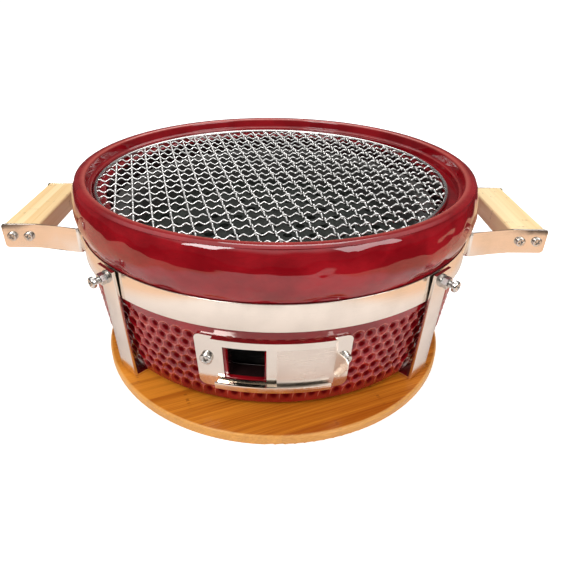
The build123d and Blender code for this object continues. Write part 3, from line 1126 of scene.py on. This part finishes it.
@dataclass
class StrapFrame:
    """Two steel bands with handle arms, and two straps that cradle the bowl."""

    band_radius: float = 170.15
    band_thickness: float = 1.5
    band_bottom: float = 86.0
    band_height: float = 22.0
    bend_radius: float = 4.0
    arm_offset: float = 50.4
    arm_reach: float = 231.0
    corner_round: float = 3.0
    strap_width: float = 20.0
    strap_thickness: float = 2.5
    strap_azimuth: float = 44.1
    strap_top_reach: float = 174.7
    strap_foot_reach: float = 169.7
    strap_seat: float = 9.0
    joggle_half: float = 22.0
    joggle_run: float = 8.0
    edge: float = 0.3
    tip_rings: tuple[float, ...] = (30.0, 12.0, 3.0, 1.9, 1.1, 0.5, 0.15, 0.0)
    arc_steps: int = 90
    bend_steps: int = 8
    foot_round: float = 1.9
    joggle_round: float = 2.0

    def section(self, width: float, thickness: float, trim: float = 0.0) -> list[tuple[float, float]]:
        """Flat bar's cross-section with eased edges, centred.

        Args:
            width: the bar's width.
            thickness: the bar's thickness.
            trim: how much each edge is drawn in, for a rounded end.

        Returns:
            Points across the thickness and along the width.
        """
        return rounded_box(thickness / 2, width / 2 - trim, self.edge, 3)

    def band_path(self) -> list[tuple[float, float, float, float]]:
        """Middle line of a band in plan: x, y and the direction towards the outside."""
        bend_y = -(self.arm_offset + self.bend_radius)
        bend_x = math.sqrt((self.band_radius + self.bend_radius) ** 2 - bend_y**2)
        span = math.atan2(bend_x, -bend_y)
        half = []
        for step in range(self.arc_steps + 1):
            turn = span * step / self.arc_steps
            out_x, out_y = math.sin(turn), -math.cos(turn)
            half.append((out_x * self.band_radius, out_y * self.band_radius, out_x, out_y))
        for step in range(1, self.bend_steps + 1):
            turn = span + (math.pi - span) * step / self.bend_steps - math.pi
            out_x, out_y = math.sin(turn), -math.cos(turn)
            x = bend_x + out_x * self.bend_radius
            y = bend_y + out_y * self.bend_radius
            half.append((x, y, -out_x, -out_y))
        for distance in self.tip_rings:
            half.append((self.arm_reach - distance, -self.arm_offset, 0.0, -1.0))
        mirrored = [(-x, y, -out_x, out_y) for x, y, out_x, out_y in reversed(half[1:])]
        return mirrored + half

    def band(self, rear: bool) -> Skin:
        """One band, front or rear.

        Args:
            rear: whether it is turned round to the back.

        Returns:
            The band's skin.
        """
        sign = -1.0 if rear else 1.0
        middle = self.band_bottom + self.band_height / 2
        rings = []
        for x, y, out_x, out_y in self.band_path():
            gap = min(self.arm_reach - abs(x), self.corner_round)
            short = self.corner_round - gap
            trim = self.corner_round - math.sqrt(max(self.corner_round**2 - short**2, 0.0))
            points = self.section(self.band_height, self.band_thickness, trim)
            rings.append([(sign * (x + out_x * a), sign * (y + out_y * a), middle + b) for a, b in points])
        skin = Skin()
        skin.tube(rings)
        return skin

    def strap(self, azimuth: float, lift: float) -> Skin:
        """One U-shaped strap across the frame.

        Args:
            azimuth: degrees from the front to its positive end.
            lift: how far its middle is joggled up.

        Returns:
            The strap's skin.
        """
        thick = self.strap_thickness
        low = self.strap_seat + thick / 2
        high = self.band_bottom + self.band_height
        slope = (self.strap_top_reach - self.strap_foot_reach) / (high - self.strap_seat)
        top = self.strap_top_reach - thick / 2
        foot = self.strap_foot_reach - thick / 2 + slope * thick / 2
        corners = [(0.0, low + lift, 0.0)]
        if lift:
            corners.append((self.joggle_half, low + lift, self.joggle_round))
            corners.append((self.joggle_half + self.joggle_run, low, self.joggle_round))
        corners += [(foot, low, self.foot_round), (top, high, 0.0)]
        line = rounded(corners)
        line = [(-x, z) for x, z in reversed(line[1:])] + line
        turn = math.radians(azimuth)
        rings = []
        for place, (x, z) in enumerate(line):
            before = Vector(line[max(place - 1, 0)])
            after = Vector(line[min(place + 1, len(line) - 1)])
            run = (after - before).normalized()
            corner = (Vector((x, z)) - before).normalized() if place else run
            spread = 1.0 / max(math.sqrt((1.0 + corner.dot(run) ** 2) / 2), 0.7)
            ring = []
            for a, b in self.section(self.strap_width, thick):
                out = x + run.y * a * spread
                up = z - run.x * a * spread
                x_place = math.sin(turn) * out + math.cos(turn) * b
                y_place = -math.cos(turn) * out + math.sin(turn) * b
                ring.append((x_place, y_place, up))
            rings.append(ring)
        skin = Skin()
        skin.tube(rings)
        return skin

    def build(self, finishes: Finishes) -> None:
        """Makes the bands and straps.

        Args:
            finishes: the grill's finishes.
        """
        for name, rear in (("front_band", False), ("rear_band", True)):
            piece = self.band(rear).piece("steel_" + name, finishes.band)
            settle(piece, Body.GRILL, [name])
        straps = (
            ("cradle_strap_lower", -self.strap_azimuth, 0.0),
            ("cradle_strap_upper", self.strap_azimuth, self.strap_thickness),
        )
        for name, azimuth, lift in straps:
            piece = self.strap(azimuth, lift).piece("steel_" + name, finishes.strap)
            settle(piece, Body.GRILL, [name])


@dataclass
class PanScrew:
    """Cross-recessed pan-head screw with a rolled thread; ratios are to the head's size."""

    head_radius: float
    head_height: float
    shank_radius: float
    shank_length: float
    thread_pitch: float
    around: int = 48
    crown: float = 0.45
    recess_half: float = 0.14
    recess_reach: float = 0.58
    recess_end: float = 0.18
    recess_depth: float = 0.55
    thread_depth: float = 0.45
    rings_each: int = 6
    edge: float = 0.25
    tip_taper: float = 0.35

    def recess(self, x: float, y: float) -> float:
        """Depth of the cross recess at a place on the head."""
        arm_half = self.head_radius * self.recess_half
        arm_reach = self.head_radius * self.recess_reach
        along, across = max(abs(x), abs(y)), min(abs(x), abs(y))
        side = min(max((arm_half - across) / (arm_half * 0.35) + 0.5, 0.0), 1.0)
        end = min(max((arm_reach - along) / (self.head_radius * self.recess_end), 0.0), 1.0)
        return self.head_height * self.recess_depth * side * end

    def head_outline(self) -> list[tuple[float, float]]:
        """Radius and height along the head, from its middle to the shank."""
        crown = self.head_height * self.crown
        outline = [(self.head_radius * step / 17, self.head_height) for step in range(1, 13)]
        for angle in range(0, 91, 15):
            turn = math.radians(angle)
            radius = self.head_radius - crown + crown * math.sin(turn)
            outline.append((radius, self.head_height - crown + crown * math.cos(turn)))
        spots = {(round(radius, 4), round(height, 4)) for radius, height in outline}
        seat = [(self.head_radius, self.edge), (self.head_radius - self.edge, 0.0), (self.shank_radius, 0.0)]
        return sorted(spots, key=lambda spot: (-spot[1], spot[0])) + seat

    def thread_radius(self, along: float, share: float) -> float:
        """Radius of the thread, which fades at both ends of the shank.

        Args:
            along: distance from the seat.
            share: place round the shank, from 0 to 1.

        Returns:
            The radius.
        """
        fade = min(along / self.thread_pitch, (self.shank_length - along) / self.thread_pitch, 1.0)
        wave = abs(((along / self.thread_pitch + share) % 1.0) * 2 - 1)
        tip = self.tip_taper if along == self.shank_length else 0.0
        return self.shank_radius - self.thread_pitch * self.thread_depth * wave * max(fade, 0.0) - tip

    def rings(self, place: Matrix) -> list[list[Point]]:
        """Rings from the head's middle to the screw's tip.

        Args:
            place: where the head's seat is, with Z towards the head.

        Returns:
            The rings.
        """
        shares = [n / self.around for n in range(self.around)]
        spokes = [(math.cos(2 * math.pi * share), math.sin(2 * math.pi * share)) for share in shares]
        rings = []
        for radius, height in self.head_outline():
            ring = []
            for x, y in spokes:
                drop = self.recess(radius * x, radius * y) if height > self.head_height * 0.5 else 0.0
                ring.append(tuple(place @ Vector((radius * x, radius * y, height - drop))))
            rings.append(ring)
        count = int(self.shank_length / (self.thread_pitch / self.rings_each))
        for step in range(1, count + 1):
            along = self.shank_length * (step / count)
            ring = []
            for share, (x, y) in zip(shares, spokes):
                radius = self.thread_radius(along, share)
                ring.append(tuple(place @ Vector((radius * x, radius * y, -along))))
            rings.append(ring)
        return rings


@dataclass
class Fasteners:
    """Clamp screws, handle screws and vent screws."""

    clamp_azimuths: tuple[float, ...] = (-44.1, 44.1, 135.9, 224.1)
    clamp_reach: float = 174.346
    clamp_height: float = 101.0
    clamp_tilt: float = 2.891
    clamp_stand: float = 9.5
    handle_places: tuple[float, ...] = (-223.0, -209.0, 209.0, 223.0)
    handle_height: float = 97.0
    handle_face: float = 51.17
    vent_azimuths: tuple[float, ...] = (-16.4, 17.7)
    vent_height: float = 56.5
    vent_radius: float = 165.512
    vent_tilt: float = 5.976
    vent_stand: float = 1.55

    def clamp_seats(self) -> list[Matrix]:
        """Seats of the clamp screws' heads."""
        stand = Matrix.Translation((0.0, 0.0, self.clamp_stand))
        seats = []
        for n, azimuth in enumerate(self.clamp_azimuths):
            spot = facing(azimuth, self.clamp_reach, self.clamp_height, self.clamp_tilt)
            seats.append(spot @ stand @ Matrix.Rotation(0.5 * n + 0.35, 4, "Z"))
        return seats

    def handle_seats(self) -> list[Matrix]:
        """Seats of the handle screws' heads."""
        seats = []
        for side in (-1, 1):
            tip = Matrix.Rotation(math.radians(-90.0 * side), 4, "X")
            for n, place in enumerate(self.handle_places):
                spot = Matrix.Translation((place, side * self.handle_face, self.handle_height))
                seats.append(spot @ tip @ Matrix.Rotation(0.7 * n + side, 4, "Z"))
        return seats

    def vent_seats(self) -> list[Matrix]:
        """Seats of the vent screws' heads."""
        stand = Matrix.Translation((0.0, 0.0, self.vent_stand))
        seats = []
        for n, azimuth in enumerate(self.vent_azimuths):
            spot = facing(azimuth, self.vent_radius, self.vent_height, self.vent_tilt)
            seats.append(spot @ stand @ Matrix.Rotation(0.4 + n, 4, "Z"))
        return seats

    def build(self, finishes: Finishes) -> None:
        """Makes the three sets of screws.

        Args:
            finishes: the grill's finishes.
        """
        sets = (
            ("clamp_screws", PanScrew(4.3, 3.4, 2.5, 14.85, 0.8), self.clamp_seats()),
            ("handle_screws", PanScrew(4.0, 2.6, 2.0, 20.0, 1.4), self.handle_seats()),
            ("vent_screws", PanScrew(4.7, 3.2, 2.4, 12.0, 0.8), self.vent_seats()),
        )
        for node, screw, seats in sets:
            skin = Skin()
            for seat in seats:
                skin.tube(screw.rings(seat))
            settle(skin.piece("threaded_" + node, finishes.screws, 35.0), Body.GRILL, [node])


@dataclass
class CookingGrate:
    """Crimped round wires woven inside a wire ring."""

    ring_radius: float = 151.5
    ring_wire: float = 1.5
    wire: float = 0.88
    wave: float = 1.05
    pitch: float = 13.5
    crimps: int = 3
    turn: float = 14.4
    shift: float = -3.5
    middle: float = 136.75
    rows: int = 10
    sides: int = 8
    steps_each: int = 18
    end_gap: float = 0.1
    end_share: float = 0.8
    ring_around: int = 256
    ring_sides: int = 14

    def place(self) -> Matrix:
        """Where the grate lies in the bowl."""
        turned = Matrix.Rotation(math.radians(self.turn), 4, "Z")
        return Matrix.Translation((self.shift, 0.0, self.middle)) @ turned

    def crimped(self, row: int, parity: int) -> list[list[Point]]:
        """Rings of one crimped wire along X.

        Args:
            row: which wire it is, from the middle one.
            parity: whether its first crossing is over or under.

        Returns:
            The rings.
        """
        offset = row * self.pitch
        inside = self.ring_radius - self.ring_wire - self.end_gap
        reach = math.sqrt(inside**2 - (abs(offset) + self.wire) ** 2)
        count = int(2 * reach / self.pitch * self.steps_each)
        height = self.wave if parity % 2 == 0 else -self.wave
        beat = self.crimps * math.pi / self.pitch
        rings = []
        for step in range(count + 1):
            x = -reach + 2 * reach * step / count
            z = height * math.cos(beat * x)
            lean = math.atan(-height * beat * math.sin(beat * x))
            radius = self.wire * (self.end_share if step in (0, count) else 1.0)
            ring = []
            for n in range(self.sides):
                turn = 2 * math.pi * n / self.sides
                lift = radius * math.sin(turn)
                y = offset + radius * math.cos(turn)
                ring.append((x - lift * math.sin(lean), y, z + lift * math.cos(lean)))
            rings.append(ring)
        return rings

    def wires(self, quarter: int) -> Skin:
        """All wires in one direction.

        Args:
            quarter: 0 for the wires across, 1 for those along.

        Returns:
            Their skin.
        """
        place = self.place() @ Matrix.Rotation(quarter * math.pi / 2, 4, "Z")
        skin = Skin()
        for row in range(-self.rows, self.rows + 1):
            rings = self.crimped(row, row + quarter)
            skin.tube([[tuple(place @ Vector(point)) for point in ring] for ring in rings])
        return skin

    def ring(self) -> Skin:
        """The wire ring round the grate."""
        place = self.place()
        skin = Skin()
        rows = []
        for n in range(self.ring_around):
            turn = 2 * math.pi * n / self.ring_around
            spots = []
            for side in range(self.ring_sides):
                tilt = 2 * math.pi * side / self.ring_sides
                radius = self.ring_radius + self.ring_wire * math.cos(tilt)
                height = self.ring_wire * math.sin(tilt)
                spot = Vector((radius * math.cos(turn), radius * math.sin(turn), height))
                spots.append(tuple(place @ spot))
            rows.append(skin.ring(spots))
        for first, second in zip(rows, rows[1:] + rows[:1]):
            skin.bridge(first, second)
        return skin

    def build(self, finishes: Finishes) -> None:
        """Makes the grate's wires and ring.

        Args:
            finishes: the grill's finishes.
        """
        sets = (
            ("grate_wires_across", self.wires(0)),
            ("grate_wires_along", self.wires(1)),
            ("grate_ring", self.ring()),
        )
        for node, skin in sets:
            settle(skin.piece("round_" + node, finishes.wire, 60.0), Body.GRATE, [node])


@dataclass
class CarriedNodes:
    """CAD nodes that are shown as they are, with their detailed finishes."""

    def build(self, finishes: Finishes) -> None:
        """Dresses the CAD nodes.

        Args:
            finishes: the grill's finishes.
        """
        wear = {
            "bamboo_board": finishes.board,
            "left_handle": finishes.handles,
            "right_handle": finishes.handles,
            "vent_plate": finishes.vent,
            "vent_door": finishes.door,
            "clamp_nuts": finishes.screws,
            "clamp_washers": finishes.screws,
            "fire_bowl": finishes.clay,
            "charcoal_plate": finishes.iron,
        }
        for node, material in wear.items():
            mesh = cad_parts[node].data
            mesh.materials.clear()
            mesh.materials.append(material)
            LOG.info("%s dressed in %s", node, material.name)


@dataclass
class Studio:
    """Pale floor, soft lamps, white surroundings and the photograph's camera.

    Places and sizes are in metres, angles in degrees and powers in watts.
    """

    camera_place: Point = (0.0, -0.4422, 0.2856)
    camera_elevation: float = 30.56
    camera_roll: float = 0.63
    focal_pixels: float = 507.77
    pan_pixels: float = 7.37
    frame_pixels: float = 563.0
    white: Colour = (1.0, 1.0, 1.0)
    surroundings: float = 0.62
    shown: float = 1.0
    flags: float = 0.09
    flag_heights: tuple[float, float] = (0.45, 0.8)
    floor_rings: tuple[float, ...] = (400.0, 1500.0, 6000.0, 60000.0)
    floor_around: int = 64
    floor_height: float = -0.1
    paper: Colour = (0.86, 0.86, 0.86)
    mirrored_paper: Colour = (0.82, 0.765, 0.73)
    warm_paper: Colour = (0.80, 0.48, 0.27)
    dark_room: Colour = (0.03, 0.022, 0.02)
    glow: float = 0.55
    warm_from: float = 0.20
    warm_to: float = 0.31
    paper_reach: float = 0.62
    aim: Point = (0.0, 0.0, 0.08)
    lamps: tuple[tuple[str, Point, float, float], ...] = (
        ("key", (-0.75, -0.95, 1.15), 0.55, 11.0),
        ("fill", (1.0, -0.8, 0.9), 0.7, 7.0),
        ("top", (0.1, 0.75, 1.35), 0.8, 8.0),
    )

    def floor_material(self) -> bpy.types.Material:
        """Pale paper that shows white to the camera and ends in a dark room in reflections."""
        graph = Graph("pale_floor")
        seen = graph.output("ShaderNodeLightPath", "Is Camera Ray")
        mirrored = graph.output("ShaderNodeLightPath", "Is Glossy Ray")
        x, y = graph.axis("X"), graph.axis("Y")
        sides = graph.step(x * x, self.warm_from**2, self.warm_to**2)
        far = graph.step(x * x + y * y, self.paper_reach**2, (self.paper_reach * 1.05) ** 2)
        colour = graph.mix(self.paper, self.mirrored_paper, mirrored)
        colour = graph.mix(colour, self.warm_paper, mirrored * sides * 0.75)
        colour = graph.mix(colour, self.dark_room, mirrored * far)
        graph.surface_is(Base_Color=colour, Roughness=0.9, Specular_IOR_Level=0.1)
        plain = graph.surface.outputs[0]
        glow = graph.node("ShaderNodeEmission", {}, {"Color": self.white, "Strength": self.glow})
        bright = graph.node("ShaderNodeAddShader", {}, {0: plain, 1: glow.outputs[0]})
        choice = graph.node("ShaderNodeMixShader", {}, {0: seen, 1: plain, 2: bright.outputs[0]})
        graph.feed(graph.tree.nodes["Material Output"].inputs["Surface"], choice.outputs[0])
        return graph.material

    def floor(self) -> None:
        """Lays the pale floor, which keeps the grill's shadow."""
        skin = Skin()
        azimuths = [360.0 * n / self.floor_around for n in range(self.floor_around)]
        rings = []
        for radius in self.floor_rings:
            rings.append(skin.ring([at_azimuth(radius, azimuth, self.floor_height) for azimuth in azimuths]))
        skin.fan(rings[0], (0.0, 0.0, self.floor_height))
        for first, second in zip(rings, rings[1:]):
            skin.bridge(first, second)
        skin.piece("floor", self.floor_material())

    def world(self) -> None:
        """Lights the scene evenly; it shows white, with dark flags low in reflections."""
        world = bpy.data.worlds.new("studio")
        bpy.context.scene.world = world
        world.use_nodes = True
        world.node_tree.nodes.clear()
        nodes = Nodes(world.node_tree)
        direction = nodes.node("ShaderNodeTexCoord", {}, {}).outputs["Generated"]
        split = nodes.node("ShaderNodeSeparateXYZ", {}, {0: direction})
        high = nodes.step(Value(nodes, split.outputs["Z"]), *self.flag_heights)
        mirrored = high * (self.shown - self.flags) + self.flags
        last = nodes.node("ShaderNodeBackground", {}, {"Color": self.white, "Strength": self.surroundings})
        choices = (
            ("Is Camera Ray", self.shown),
            ("Is Transmission Ray", self.shown),
            ("Is Glossy Ray", mirrored),
        )
        for name, strength in choices:
            seen = nodes.output("ShaderNodeLightPath", name)
            shown = nodes.node("ShaderNodeBackground", {}, {"Color": self.white, "Strength": strength})
            last = nodes.node("ShaderNodeMixShader", {}, {0: seen, 1: last.outputs[0], 2: shown.outputs[0]})
        nodes.node("ShaderNodeOutputWorld", {}, {"Surface": last.outputs[0]})

    def lamp(self, name: str, place: Point, size: float, power: float) -> None:
        """Hangs one soft square lamp aimed at the grill.

        Args:
            name: the lamp's name.
            place: where it hangs.
            size: its side.
            power: its power.
        """
        light = bpy.data.lights.new(name, "AREA")
        light.size = size
        light.energy = power
        thing = bpy.data.objects.new(name, light)
        thing.location = place
        aim = Vector(self.aim) - Vector(place)
        thing.rotation_euler = aim.to_track_quat("-Z", "Y").to_euler()
        bpy.context.scene.collection.objects.link(thing)

    def camera(self) -> None:
        """Sets up the camera at the photograph's viewing angle."""
        data = bpy.data.cameras.new("photo_view")
        data.sensor_width = 36.0
        data.sensor_fit = "HORIZONTAL"
        data.lens = self.focal_pixels / self.frame_pixels * data.sensor_width
        data.shift_x = self.pan_pixels / self.frame_pixels
        data.clip_start = 0.01
        thing = bpy.data.objects.new("photo_view", data)
        tip = Matrix.Rotation(math.radians(90.0 - self.camera_elevation), 4, "X")
        roll = Matrix.Rotation(math.radians(self.camera_roll), 4, "Z")
        thing.matrix_world = Matrix.Translation(self.camera_place) @ tip @ roll
        bpy.context.scene.collection.objects.link(thing)
        bpy.context.scene.camera = thing

    def build(self) -> None:
        """Sets up the whole studio."""
        self.floor()
        self.world()
        for lamp in self.lamps:
            self.lamp(*lamp)
        self.camera()
        bpy.context.scene.view_settings.view_transform = "Standard"
        LOG.info("studio is ready")


def main() -> None:
    """Builds every piece of the grill."""
    logging.basicConfig(level=logging.INFO, format="%(name)s: %(message)s")
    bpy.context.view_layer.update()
    finishes = Finishes()
    GlazedBowl().build(finishes)
    StrapFrame().build(finishes)
    Fasteners().build(finishes)
    CookingGrate().build(finishes)
    CarriedNodes().build(finishes)
    Studio().build()


if __name__ == "__main__":
    main()
